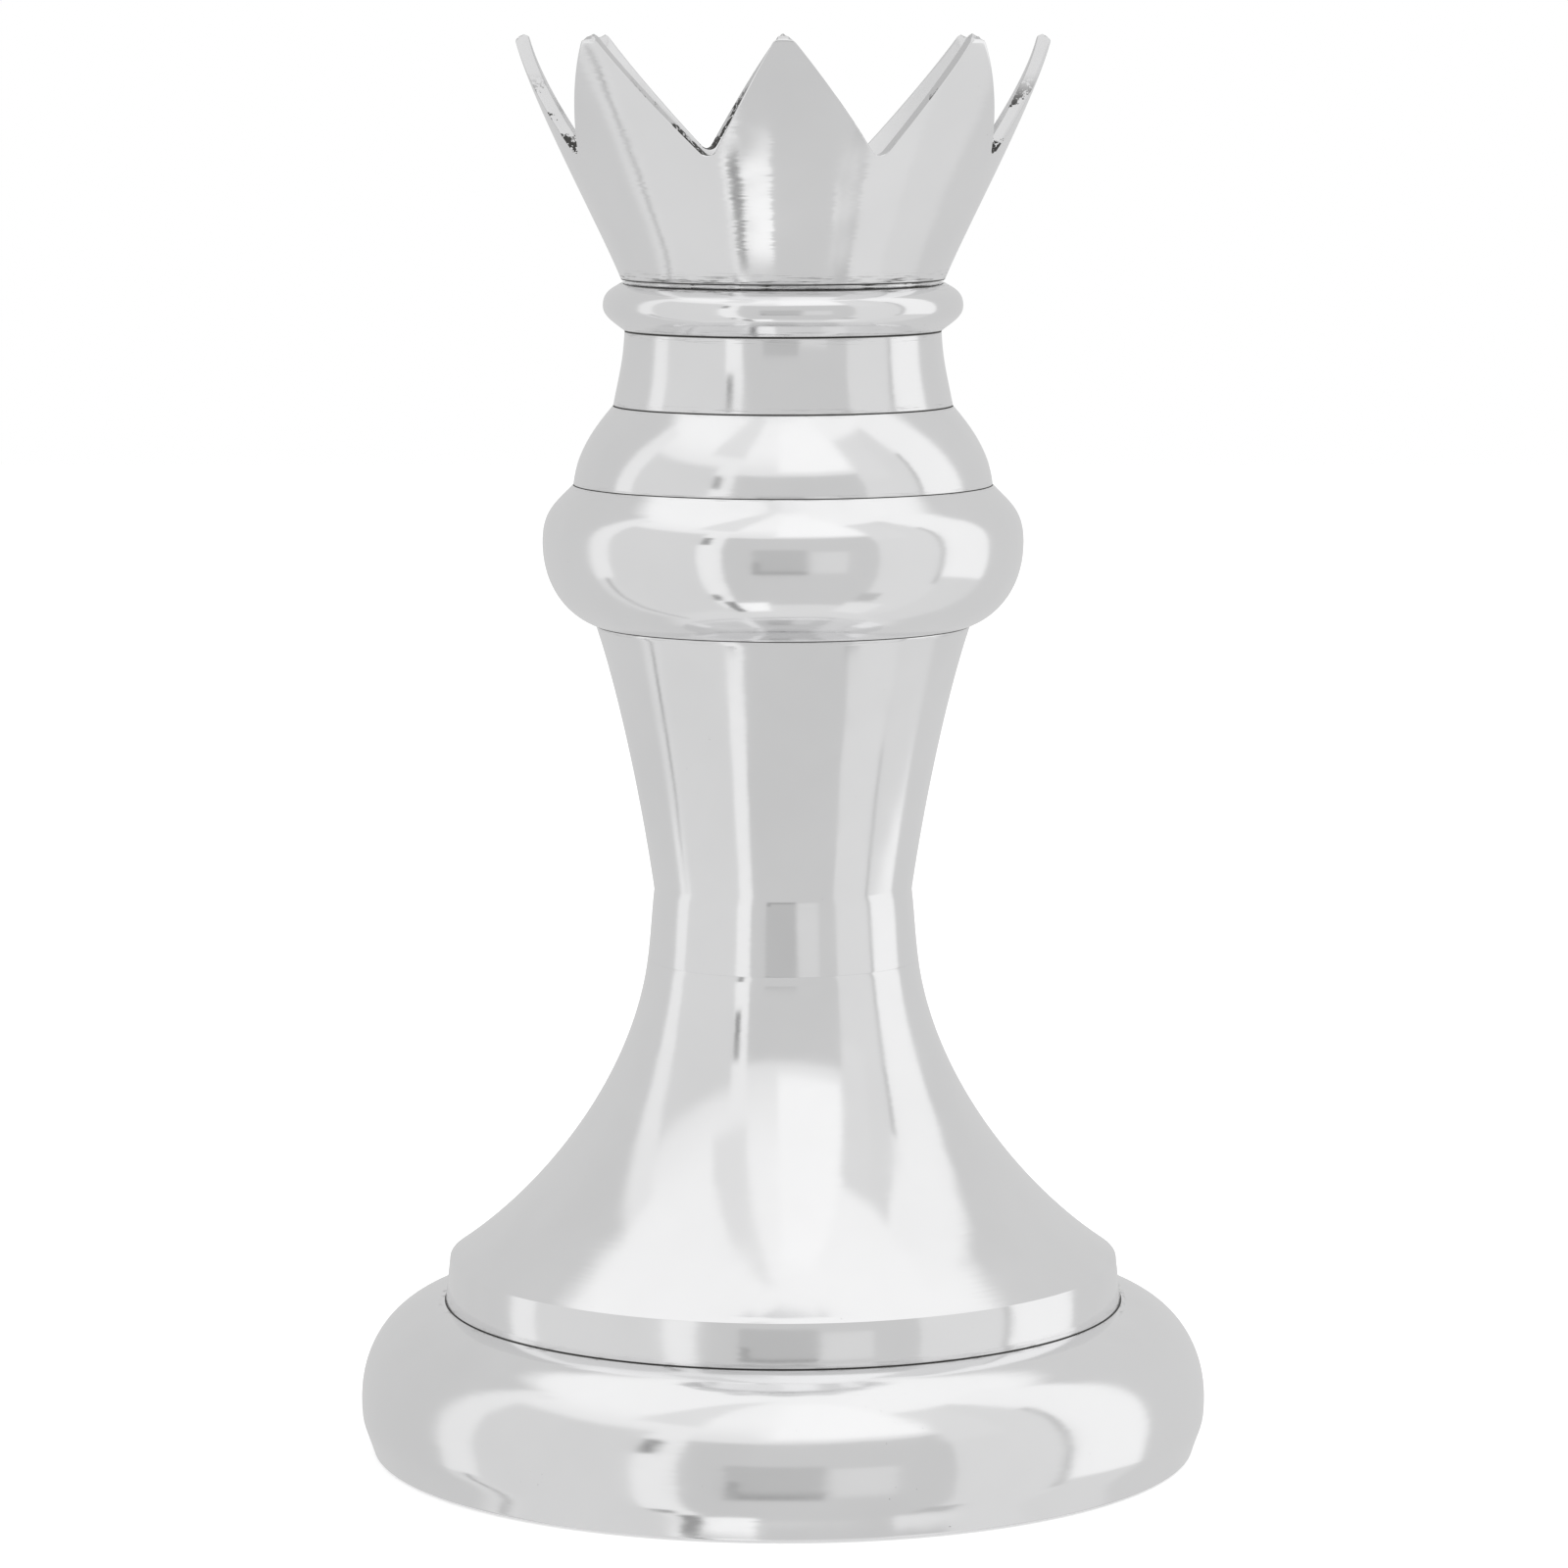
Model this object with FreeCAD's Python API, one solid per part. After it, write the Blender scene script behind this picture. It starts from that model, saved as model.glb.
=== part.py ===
"""Chess queen ornament: a stack of hollow aluminium castings drawn together by one steel tie rod.

Eight turned and polished castings stand on each other: foot, skirt, column, collar, shoulder, neck, bead
and crown. Each one is closed by a web at both ends. A spigot on the top web of a casting enters a bore in
the bottom web of the next, which centres the stack. The tie rod runs through all the webs, from a domed
nut on the floor of the crown to a nut and a lock nut under the top web of the foot. A board closes the
foot from below. It is screwed to pillars inside the foot, and carries the felt that the ornament stands on.

Millimetres. +Z is up, the axis of the stack is Z, and z = 0 is the surface that the felt stands on.
One point of the crown faces -Y.
"""

import FreeCAD
import Part
import math
import os
from FreeCAD import Vector

# ---------------------------------------------------------------- driving dimensions
# Heights of the castings, from the foot up
FOOT_HEIGHT = 63.0
SKIRT_HEIGHT = 146.5
COLUMN_HEIGHT = 142.1
COLLAR_HEIGHT = 59.1
SHOULDER_HEIGHT = 33.0
NECK_HEIGHT = 31.4
BEAD_HEIGHT = 21.2
CROWN_HEIGHT = 102.7

# Outer radii at the seams and at the widest and narrowest places
FOOT_RIM_RADIUS = 175.0
FOOT_RADIUS = 180.0
SKIRT_BASE_RADIUS = 144.0
BAND_TOP_RADIUS = 142.0
WELD_RADIUS = 57.4
WAIST_RADIUS = 54.6
COLUMN_TOP_RADIUS = 79.0
COLLAR_RADIUS = 101.2
COLLAR_TOP_RADIUS = 88.1
SHOULDER_TOP_RADIUS = 71.3
NECK_TOP_RADIUS = 66.4
BEAD_RADIUS = 75.5
BEAD_TOP_RADIUS = 67.7
CROWN_BASE_RADIUS = 67.7
CROWN_TOP_RADIUS = 112.2

# Heights of those places above the bottom of their own casting
FOOT_WIDEST = 22.0
BAND_HEIGHT = 18.6
WAIST_ABOVE_WELD = 29.5
COLLAR_WIDEST = 35.0
BEAD_WIDEST = 10.4

# The crown
CROWN_POINTS = 8
NOTCH_DEPTH = 49.5
NOTCH_ROOT_RADIUS = 4.5
TIP_WIDTH = 3.0
TIP_BEVEL = 4.0
CROWN_WALL = 6.0
CROWN_FLOOR = 8.0
# The tips are evenly spaced but the gaps were cut by hand: how far each gap's root is from the middle, in
# degrees, from the front point anticlockwise as seen from above
HAND_CUT = [2.5, 1.5, -1.0, 0.5, -1.0, 1.0, 0.5, 3.4]

# The castings in general
WALL = 5.0
WEB = 6.0
LAND = 16.0
SPIGOT_HEIGHT = 4.0
SPIGOT_CLEARANCE = 0.3
SEAM_GROOVE = 1.2
SEAM_GROOVE_DEPTH = 2.0

# The underside
FELT_THICKNESS = 3.0
FELT_PROUD = 1.0
FELT_MARGIN = 3.0
BOARD_THICKNESS = 6.0
BOARD_CLEARANCE = 1.0
FOOT_RIM_WIDTH = 8.0
SCREW_COUNT = 6
SCREW_CIRCLE_RADIUS = 125.0
PILLAR_RADIUS = 8.0
SCREW_RADIUS = 2.5
SCREW_LENGTH = 18.0
SCREW_HEAD_RADIUS = 4.7
SCREW_HEAD_HEIGHT = 2.7
SCREW_RECESS_RADIUS = 1.5
SCREW_RECESS_DEPTH = 1.4
TAPPED_DEPTH_SPARE = 3.0
THREAD_CLEARANCE = 0.05
SCREW_HOLE_CLEARANCE = 0.25

# The tie rod and what is on it
ROD_RADIUS = 6.0
ROD_CLEARANCE = 0.5
ROD_BELOW_LOCK_NUT = 9.0
ROD_END_CHAMFER = 1.0
ROD_IN_DOME = 13.0
DOME_NUT_FLATS = 19.0
DOME_NUT_STEP = 0.5
DOME_NUT_HEX_HEIGHT = 11.0
DOME_NUT_HEIGHT = 22.0
DOME_NUT_BORE_SPARE = 1.5
NUT_FLATS = 19.0
NUT_HEIGHT = 10.0
LOCK_NUT_HEIGHT = 6.0
WASHER_RADIUS = 12.0
WASHER_THICKNESS = 2.5
PENNY_WASHER_RADIUS = 22.0
PENNY_WASHER_THICKNESS = 3.0
SPRING_WASHER_RADIUS = 10.4
SPRING_WASHER_THICKNESS = 2.8
SPRING_WASHER_GAP = 1.6

# ---------------------------------------------------------------- places that follow from them
FOOT_Z = FELT_PROUD
SKIRT_Z = FOOT_Z + FOOT_HEIGHT
COLUMN_Z = SKIRT_Z + SKIRT_HEIGHT
COLLAR_Z = COLUMN_Z + COLUMN_HEIGHT
SHOULDER_Z = COLLAR_Z + COLLAR_HEIGHT
NECK_Z = SHOULDER_Z + SHOULDER_HEIGHT
BEAD_Z = NECK_Z + NECK_HEIGHT
CROWN_Z = BEAD_Z + BEAD_HEIGHT
TOP_Z = CROWN_Z + CROWN_HEIGHT

BOARD_Z = FELT_THICKNESS
LEDGE_Z = BOARD_Z + BOARD_THICKNESS
RECESS_RADIUS = FOOT_RIM_RADIUS - FOOT_RIM_WIDTH
FOOT_WEB_Z = SKIRT_Z - WEB
FLOOR_Z = CROWN_Z + CROWN_FLOOR

AXIS = Vector(0, 0, 1)
ORIGIN = Vector(0, 0, 0)
FULL_TURN = 360.0
MARGIN = 2.0


# ---------------------------------------------------------------- outlines in the (radius, z) half plane
def toward(degrees):
    """Unit direction in the half plane: 0 points outwards, 90 points up."""
    angle = math.radians(degrees)
    return (math.cos(angle), math.sin(angle))


def handled(start, leave, leave_length, end, arrive, arrive_length):
    """Poles of a cubic curve that leaves start and arrives at end in these directions, in degrees."""
    out, back = toward(leave), toward(arrive)
    first = (start[0] + leave_length * out[0], start[1] + leave_length * out[1])
    second = (end[0] - arrive_length * back[0], end[1] - arrive_length * back[1])
    return [start, first, second, end]


def crossing(a, b, c, d):
    """Where the line a-b meets the line c-d, or b where they are nearly parallel."""
    first = (b[0] - a[0], b[1] - a[1])
    second = (d[0] - c[0], d[1] - c[1])
    area = first[0] * second[1] - first[1] * second[0]
    if abs(area) < 0.02 * math.hypot(*first) * math.hypot(*second):
        return b
    share = ((c[0] - a[0]) * second[1] - (c[1] - a[1]) * second[0]) / area
    return (a[0] + share * first[0], a[1] + share * first[1])


def inset(poles, wall):
    """The same curve moved inwards by the wall: each leg of its polygon is moved, and they meet again."""
    legs = []
    for start, end in zip(poles, poles[1:]):
        length = math.hypot(end[0] - start[0], end[1] - start[1])
        across = (-(end[1] - start[1]) / length * wall, (end[0] - start[0]) / length * wall)
        legs.append(((start[0] + across[0], start[1] + across[1]), (end[0] + across[0], end[1] + across[1])))
    inner = [legs[0][0]]
    for before, after in zip(legs, legs[1:]):
        inner.append(crossing(*before, *after))
    inner.append(legs[-1][1])
    return inner


def at(point):
    return Vector(point[0], 0, point[1])


def revolved(edges):
    """A solid of revolution about Z from a closed chain of edges in the half plane."""
    face = Part.Face(Part.Wire(Part.__sortEdges__(edges)))
    return face.revolve(ORIGIN, AXIS, FULL_TURN)


def chain(curves, low_z, high_z):
    """A closed outline: up the curves, in to the axis at high_z, down it, and out again at low_z."""
    points = [(0.0, low_z), (curves[0][0][0], low_z)]
    edges = []
    for poles in curves:
        if math.dist(points[-1], poles[0]) > 1e-6:
            points.append(poles[0])
        edges += [Part.makeLine(at(a), at(b)) for a, b in zip(points, points[1:])]
        if len(poles) == 2:
            edges.append(Part.makeLine(at(poles[0]), at(poles[1])))
        else:
            curve = Part.BezierCurve()
            curve.setPoles([at(pole) for pole in poles])
            edges.append(curve.toShape())
        points = [poles[-1]]
    points += [(points[-1][0], high_z)] if abs(points[-1][1] - high_z) > 1e-6 else []
    points += [(0.0, high_z), (0.0, low_z)]
    edges += [Part.makeLine(at(a), at(b)) for a, b in zip(points, points[1:])]
    return edges


def cylinder(radius, low_z, high_z, x=0.0, y=0.0):
    return Part.makeCylinder(radius, high_z - low_z, Vector(x, y, low_z), AXIS)


def slab(low_z, high_z):
    return cylinder(2 * FOOT_RADIUS, low_z, high_z)


def turned(curves, low_z, high_z):
    """The solid inside the outer curves of a casting."""
    return revolved(chain(curves, low_z, high_z))


def hollow(curves, wall, low_z, high_z):
    """The space one wall inside the outer curves, between two heights."""
    inner = [inset(poles, wall) for poles in curves]
    joined = [inner[0]]
    for poles in inner[1:]:
        joined[-1][-1] = poles[0] = midpoint(joined[-1][-1], poles[0])
        joined.append(poles)
    low = min(low_z, joined[0][0][1]) - MARGIN
    high = max(high_z, joined[-1][-1][1]) + MARGIN
    return revolved(chain(joined, low, high)).common(slab(low_z, high_z))


def midpoint(a, b):
    return ((a[0] + b[0]) / 2, (a[1] + b[1]) / 2)


# ---------------------------------------------------------------- castings
def rod_hole(low_z, high_z):
    return cylinder(ROD_RADIUS + ROD_CLEARANCE, low_z - MARGIN, high_z + MARGIN)


def spigot(seam_radius, z):
    return cylinder(seam_radius - LAND, z, z + SPIGOT_HEIGHT)


def spigot_bore(seam_radius, z, depth):
    return cylinder(seam_radius - LAND + SPIGOT_CLEARANCE, z, z + depth)


def stacked_casting(curves, low_z, high_z, low_radius, high_radius):
    """A hollow casting with a bored web at the bottom, and a web and a spigot at the top."""
    body = turned(curves, low_z, high_z)
    body = body.cut(hollow(curves, WALL, low_z + WEB, high_z - WEB))
    body = body.cut(spigot_bore(low_radius, low_z, WEB))
    body = body.fuse(spigot(high_radius, high_z))
    return body.cut(rod_hole(high_z - WEB, high_z + SPIGOT_HEIGHT)).removeSplitter()


def foot_curves():
    rim = (FOOT_RIM_RADIUS, FOOT_Z)
    widest = (FOOT_RADIUS, FOOT_Z + FOOT_WIDEST)
    seam = (SKIRT_BASE_RADIUS, SKIRT_Z)
    below, above = FOOT_WIDEST, FOOT_HEIGHT - FOOT_WIDEST
    return [
        handled(rim, 72, 0.62 * below, widest, 90, 0.50 * below),
        handled(widest, 90, 0.49 * above, seam, 177, 0.58 * above),
    ]


def skirt_curves():
    band_top = (BAND_TOP_RADIUS, SKIRT_Z + BAND_HEIGHT)
    weld = (WELD_RADIUS, COLUMN_Z)
    rise = SKIRT_HEIGHT - BAND_HEIGHT
    return [
        [(SKIRT_BASE_RADIUS, SKIRT_Z), band_top],
        handled(band_top, 145.5, 0.38 * rise, weld, 97, 0.40 * rise),
    ]


def column_curves():
    weld = (WELD_RADIUS, COLUMN_Z)
    waist = (WAIST_RADIUS, COLUMN_Z + WAIST_ABOVE_WELD)
    top = (COLUMN_TOP_RADIUS, COLLAR_Z)
    rise = COLUMN_HEIGHT - WAIST_ABOVE_WELD
    return [
        handled(weld, 97, 0.4 * WAIST_ABOVE_WELD, waist, 97, 0.3 * WAIST_ABOVE_WELD),
        handled(waist, 82, 0.35 * rise, top, 71.5, 0.26 * rise),
    ]


def collar_curves():
    seam = (COLUMN_TOP_RADIUS, COLLAR_Z)
    widest = (COLLAR_RADIUS, COLLAR_Z + COLLAR_WIDEST)
    top = (COLLAR_TOP_RADIUS, SHOULDER_Z)
    above = COLLAR_HEIGHT - COLLAR_WIDEST
    return [
        handled(seam, 19, 0.36 * COLLAR_WIDEST, widest, 90, 0.54 * COLLAR_WIDEST),
        handled(widest, 90, 0.54 * above, top, 134, 0.46 * above),
    ]


def shoulder_curves():
    seam = (COLLAR_TOP_RADIUS, SHOULDER_Z)
    top = (SHOULDER_TOP_RADIUS, NECK_Z)
    return [handled(seam, 95, 0.42 * SHOULDER_HEIGHT, top, 131, 0.32 * SHOULDER_HEIGHT)]


def neck_curves():
    seam = (SHOULDER_TOP_RADIUS, NECK_Z)
    top = (NECK_TOP_RADIUS, BEAD_Z)
    return [handled(seam, 101, 0.45 * NECK_HEIGHT, top, 93, 0.42 * NECK_HEIGHT)]


def bead_curves():
    seam = (NECK_TOP_RADIUS, BEAD_Z)
    widest = (BEAD_RADIUS, BEAD_Z + BEAD_WIDEST)
    groove_z = CROWN_Z - SEAM_GROOVE
    above = groove_z - widest[1]
    return [
        handled(seam, 38, 0.55 * BEAD_WIDEST, widest, 90, 0.42 * BEAD_WIDEST),
        handled(widest, 90, 0.60 * above, (BEAD_TOP_RADIUS, groove_z), 150, 0.50 * above),
    ]


def crown_curves():
    seam = (CROWN_BASE_RADIUS, CROWN_Z)
    top = (CROWN_TOP_RADIUS, TOP_Z)
    return [handled(seam, 68, 0.24 * CROWN_HEIGHT, top, 79, 0.24 * CROWN_HEIGHT)]


def screw_places():
    """Centres of the board's screws and of their pillars, evenly spaced on a circle."""
    step = 2 * math.pi / SCREW_COUNT
    return [
        (SCREW_CIRCLE_RADIUS * math.cos(i * step), SCREW_CIRCLE_RADIUS * math.sin(i * step))
        for i in range(SCREW_COUNT)
    ]


def foot_casting():
    body = turned(foot_curves(), FOOT_Z, SKIRT_Z)
    body = body.cut(hollow(foot_curves(), WALL, LEDGE_Z, FOOT_WEB_Z))
    body = body.cut(cylinder(RECESS_RADIUS, FOOT_Z - MARGIN, LEDGE_Z))
    for x, y in screw_places():
        pillar = cylinder(PILLAR_RADIUS, LEDGE_Z, FOOT_WEB_Z, x, y)
        tapped_top = BOARD_Z + SCREW_LENGTH + TAPPED_DEPTH_SPARE
        tapped = cylinder(SCREW_RADIUS + THREAD_CLEARANCE, LEDGE_Z - MARGIN, tapped_top, x, y)
        body = body.fuse(pillar).cut(tapped)
    body = body.fuse(spigot(SKIRT_BASE_RADIUS, SKIRT_Z))
    return body.cut(rod_hole(FOOT_WEB_Z, SKIRT_Z + SPIGOT_HEIGHT)).removeSplitter()


def bead_casting():
    """The bead is one ring. A groove under the crown keeps the two polished edges apart."""
    curves = bead_curves()
    groove_radius = BEAD_TOP_RADIUS - SEAM_GROOVE_DEPTH
    neck = [(groove_radius, CROWN_Z - SEAM_GROOVE), (groove_radius, CROWN_Z)]
    body = turned(curves + [neck], BEAD_Z, CROWN_Z)
    body = body.cut(hollow(curves, WALL, BEAD_Z + WEB, CROWN_Z - WEB))
    body = body.cut(spigot_bore(NECK_TOP_RADIUS, BEAD_Z, WEB))
    body = body.fuse(spigot(BEAD_TOP_RADIUS, CROWN_Z))
    return body.cut(rod_hole(CROWN_Z - WEB, CROWN_Z + SPIGOT_HEIGHT)).removeSplitter()


def flank(turn_to_tip):
    """Where a gap's flank leaves its root and where it passes the top, for a tip this many degrees away."""
    turn = math.radians(turn_to_tip)
    top_half = CROWN_TOP_RADIUS * math.sin(turn) - TIP_WIDTH / 2 * math.cos(turn)
    # The flank leaves the root's arc where it is tangent to it, so its slope is found by halving.
    low, high = 0.0, math.pi / 2
    for _ in range(60):
        slope = (low + high) / 2
        start = NOTCH_ROOT_RADIUS * math.cos(slope)
        rise = NOTCH_DEPTH - NOTCH_ROOT_RADIUS * (1 - math.sin(slope))
        reach = start + rise * math.tan(slope)
        low, high = (slope, high) if reach < top_half else (low, slope)
    return (start, TOP_Z - rise), (start + (rise + MARGIN) * math.tan(slope), TOP_Z + MARGIN)


def notch(turn_before, turn_after):
    """The cutter of one gap in the crown: a V with a round root, pushed through the wall along +X."""
    start_x = CROWN_BASE_RADIUS / 2
    (before, before_z), (before_open, open_z) = flank(turn_before)
    (after, after_z), (after_open, _) = flank(turn_after)
    left = Vector(start_x, -before, before_z)
    right = Vector(start_x, after, after_z)
    root = Part.Arc(left, Vector(start_x, 0, TOP_Z - NOTCH_DEPTH), right).toShape()
    corners = [right, Vector(start_x, after_open, open_z), Vector(start_x, -before_open, open_z), left]
    edges = [root] + [Part.makeLine(a, b) for a, b in zip(corners, corners[1:])]
    return Part.Face(Part.Wire(Part.__sortEdges__(edges))).extrude(Vector(CROWN_TOP_RADIUS, 0, 0))


def tip_bevel():
    """The ring outside a cone, which takes the outer edge off the top of the crown's wall."""
    low = TOP_Z - TIP_BEVEL - MARGIN
    high = TOP_Z + MARGIN
    wide = CROWN_TOP_RADIUS + MARGIN
    narrow = CROWN_TOP_RADIUS - TIP_BEVEL - MARGIN
    kept = Part.makeCone(wide, narrow, high - low, Vector(0, 0, low), AXIS)
    return cylinder(wide + MARGIN, low, high).cut(kept)


def crown_casting():
    curves = crown_curves()
    body = turned(curves, CROWN_Z, TOP_Z)
    body = body.cut(hollow(curves, CROWN_WALL, FLOOR_Z, TOP_Z + MARGIN))
    body = body.cut(spigot_bore(BEAD_TOP_RADIUS, CROWN_Z, SPIGOT_HEIGHT + SPIGOT_CLEARANCE))
    body = body.cut(rod_hole(CROWN_Z, FLOOR_Z)).cut(tip_bevel())
    step = FULL_TURN / CROWN_POINTS
    for i in range(CROWN_POINTS):
        aside = HAND_CUT[i % len(HAND_CUT)]
        tool = notch(step / 2 + aside, step / 2 - aside)
        tool.rotate(ORIGIN, AXIS, -90 + step * (i + 0.5) + aside)
        body = body.cut(tool)
    return body.removeSplitter()


# ---------------------------------------------------------------- tie rod, nuts and washers
def hexagon(flats, low_z, height):
    """A hexagonal prism with its corners chamfered at both ends, as a nut's are."""
    corner = flats / math.sqrt(3)
    points = [
        Vector(corner * math.cos(math.radians(60 * i)), corner * math.sin(math.radians(60 * i)), low_z)
        for i in range(7)
    ]
    prism = Part.Face(Part.makePolygon(points)).extrude(Vector(0, 0, height))
    chamfer = (corner - flats / 2) / math.sqrt(3)
    half = flats / 2
    outline = [
        (0, low_z),
        (half, low_z),
        (corner, low_z + chamfer),
        (corner, low_z + height - chamfer),
        (half, low_z + height),
        (0, low_z + height),
        (0, low_z),
    ]
    edges = [Part.makeLine(at(a), at(b)) for a, b in zip(outline, outline[1:])]
    return prism.common(revolved(edges))


def thread_bore(low_z, high_z):
    return cylinder(ROD_RADIUS + THREAD_CLEARANCE, low_z, high_z)


def washer(radius, low_z, thickness):
    disc = cylinder(radius, low_z, low_z + thickness)
    return disc.cut(rod_hole(low_z, low_z + thickness))


def crown_washer():
    return washer(WASHER_RADIUS, FLOOR_Z, WASHER_THICKNESS)


def dome_nut():
    low = FLOOR_Z + WASHER_THICKNESS
    dome_radius = DOME_NUT_FLATS / 2 - DOME_NUT_STEP
    dome_centre = low + DOME_NUT_HEIGHT - dome_radius
    body = hexagon(DOME_NUT_FLATS, low, DOME_NUT_HEX_HEIGHT)
    body = body.fuse(cylinder(dome_radius, low, dome_centre))
    body = body.fuse(Part.makeSphere(dome_radius, Vector(0, 0, dome_centre)))
    return body.cut(thread_bore(low, low + ROD_IN_DOME + DOME_NUT_BORE_SPARE)).removeSplitter()


PENNY_WASHER_Z = FOOT_WEB_Z - PENNY_WASHER_THICKNESS
SPRING_WASHER_Z = PENNY_WASHER_Z - SPRING_WASHER_THICKNESS
NUT_Z = SPRING_WASHER_Z - NUT_HEIGHT
LOCK_NUT_Z = NUT_Z - LOCK_NUT_HEIGHT


def penny_washer():
    return washer(PENNY_WASHER_RADIUS, PENNY_WASHER_Z, PENNY_WASHER_THICKNESS)


def spring_washer():
    """A split washer, pressed flat, with the gap of its split."""
    ring = washer(SPRING_WASHER_RADIUS, SPRING_WASHER_Z, SPRING_WASHER_THICKNESS)
    split = Part.makeBox(
        2 * SPRING_WASHER_RADIUS,
        SPRING_WASHER_GAP,
        SPRING_WASHER_THICKNESS + 2 * MARGIN,
        Vector(0, -SPRING_WASHER_GAP / 2, SPRING_WASHER_Z - MARGIN),
    )
    return ring.cut(split)


def plain_nut(low_z, height):
    return hexagon(NUT_FLATS, low_z, height).cut(thread_bore(low_z, low_z + height))


def tie_rod():
    low = LOCK_NUT_Z - ROD_BELOW_LOCK_NUT
    high = FLOOR_Z + WASHER_THICKNESS + ROD_IN_DOME
    small = ROD_RADIUS - ROD_END_CHAMFER
    outline = [
        (0, low),
        (small, low),
        (ROD_RADIUS, low + ROD_END_CHAMFER),
        (ROD_RADIUS, high - ROD_END_CHAMFER),
        (small, high),
        (0, high),
        (0, low),
    ]
    return revolved([Part.makeLine(at(a), at(b)) for a, b in zip(outline, outline[1:])])


# ---------------------------------------------------------------- underside
def screw_cone(x, y, clearance):
    """The space of a countersunk head whose top is flush with the underside of the board."""
    cone_height = SCREW_HEAD_HEIGHT
    return Part.makeCone(
        SCREW_HEAD_RADIUS + clearance,
        SCREW_RADIUS + clearance,
        cone_height,
        Vector(x, y, BOARD_Z),
        AXIS,
    )


def base_board():
    body = cylinder(RECESS_RADIUS - BOARD_CLEARANCE, BOARD_Z, LEDGE_Z)
    for x, y in screw_places():
        body = body.cut(cylinder(SCREW_RADIUS + SCREW_HOLE_CLEARANCE, BOARD_Z, LEDGE_Z, x, y))
        body = body.cut(screw_cone(x, y, SCREW_HOLE_CLEARANCE))
    return body


def base_screw(x, y):
    shank = cylinder(SCREW_RADIUS, BOARD_Z + SCREW_HEAD_HEIGHT / 2, BOARD_Z + SCREW_LENGTH, x, y)
    body = shank.fuse(screw_cone(x, y, 0.0))
    recess = cylinder(SCREW_RECESS_RADIUS, BOARD_Z, BOARD_Z + SCREW_RECESS_DEPTH, x, y)
    return body.cut(recess).removeSplitter()


def base_felt():
    return cylinder(RECESS_RADIUS - FELT_MARGIN, 0, FELT_THICKNESS)


# ---------------------------------------------------------------- the whole ornament
def sub_parts():
    seams = {
        "skirt_casting": (skirt_curves(), SKIRT_Z, COLUMN_Z, SKIRT_BASE_RADIUS, WELD_RADIUS),
        "column_casting": (column_curves(), COLUMN_Z, COLLAR_Z, WELD_RADIUS, COLUMN_TOP_RADIUS),
        "collar_casting": (collar_curves(), COLLAR_Z, SHOULDER_Z, COLUMN_TOP_RADIUS, COLLAR_TOP_RADIUS),
        "shoulder_casting": (shoulder_curves(), SHOULDER_Z, NECK_Z, COLLAR_TOP_RADIUS, SHOULDER_TOP_RADIUS),
        "neck_casting": (neck_curves(), NECK_Z, BEAD_Z, SHOULDER_TOP_RADIUS, NECK_TOP_RADIUS),
    }
    parts = {"foot_casting": foot_casting()}
    for name, facts in seams.items():
        parts[name] = stacked_casting(*facts)
    parts["bead_casting"] = bead_casting()
    parts["crown_casting"] = crown_casting()
    parts["tie_rod"] = tie_rod()
    parts["dome_nut"] = dome_nut()
    parts["crown_washer"] = crown_washer()
    parts["penny_washer"] = penny_washer()
    parts["spring_washer"] = spring_washer()
    parts["rod_nut"] = plain_nut(NUT_Z, NUT_HEIGHT)
    parts["rod_lock_nut"] = plain_nut(LOCK_NUT_Z, LOCK_NUT_HEIGHT)
    parts["base_board"] = base_board()
    for number, (x, y) in enumerate(screw_places(), start=1):
        parts[f"base_screw_{number}"] = base_screw(x, y)
    parts["base_felt"] = base_felt()
    return parts


def main():
    os.makedirs("parts", exist_ok=True)
    for name, shape in sub_parts().items():
        solids = shape.Solids
        if len(solids) != 1 or not shape.isValid():
            raise SystemExit(f"{name}: {len(solids)} solids, valid {shape.isValid()}")
        solids[0].exportStep(f"parts/{name}.step")
        print(f"{name:18} {solids[0].Volume / 1000:9.2f} cm3")


main()
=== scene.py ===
# %% [markdown]
# # A chess queen in polished aluminium
#
# The real ornament is a stack of hollow sand castings, each one turned and polished to a mirror, drawn
# together by a steel rod. In this lesson every casting is spun from its own outline, which is how a lathe
# makes it. The crown is spun too, and then its rim is pressed down into eight gaps. The finish is most of
# the work: polished metal shows hardly any colour of its own, only the room around it, so the lesson ends
# with a studio that is built for its reflections.

# %% The fixed frame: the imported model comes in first
import math
import bpy
import numpy as np
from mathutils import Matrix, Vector


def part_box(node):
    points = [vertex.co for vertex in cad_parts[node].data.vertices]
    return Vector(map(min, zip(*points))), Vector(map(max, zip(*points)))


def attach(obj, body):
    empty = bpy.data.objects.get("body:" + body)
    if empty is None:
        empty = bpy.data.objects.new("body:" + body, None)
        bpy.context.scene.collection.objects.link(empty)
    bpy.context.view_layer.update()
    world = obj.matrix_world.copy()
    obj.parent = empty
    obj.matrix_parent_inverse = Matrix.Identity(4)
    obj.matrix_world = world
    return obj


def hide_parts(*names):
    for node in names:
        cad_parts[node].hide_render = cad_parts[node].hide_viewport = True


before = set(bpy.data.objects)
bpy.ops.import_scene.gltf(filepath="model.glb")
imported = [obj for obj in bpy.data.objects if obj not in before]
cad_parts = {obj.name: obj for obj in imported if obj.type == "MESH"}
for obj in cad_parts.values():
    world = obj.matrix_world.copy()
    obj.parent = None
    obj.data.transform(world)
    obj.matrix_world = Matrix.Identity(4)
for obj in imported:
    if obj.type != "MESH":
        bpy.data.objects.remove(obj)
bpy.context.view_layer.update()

MM = 0.001
WALL = 5 * MM
WEB = 6 * MM
LAND = 16 * MM
HOLE_RADIUS = 6.5 * MM
TURN_STEPS = 256
CURVE_STEPS = 40
SMOOTH_ANGLE = 35
EDGE_WIDTH = 0.3 * MM
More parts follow.
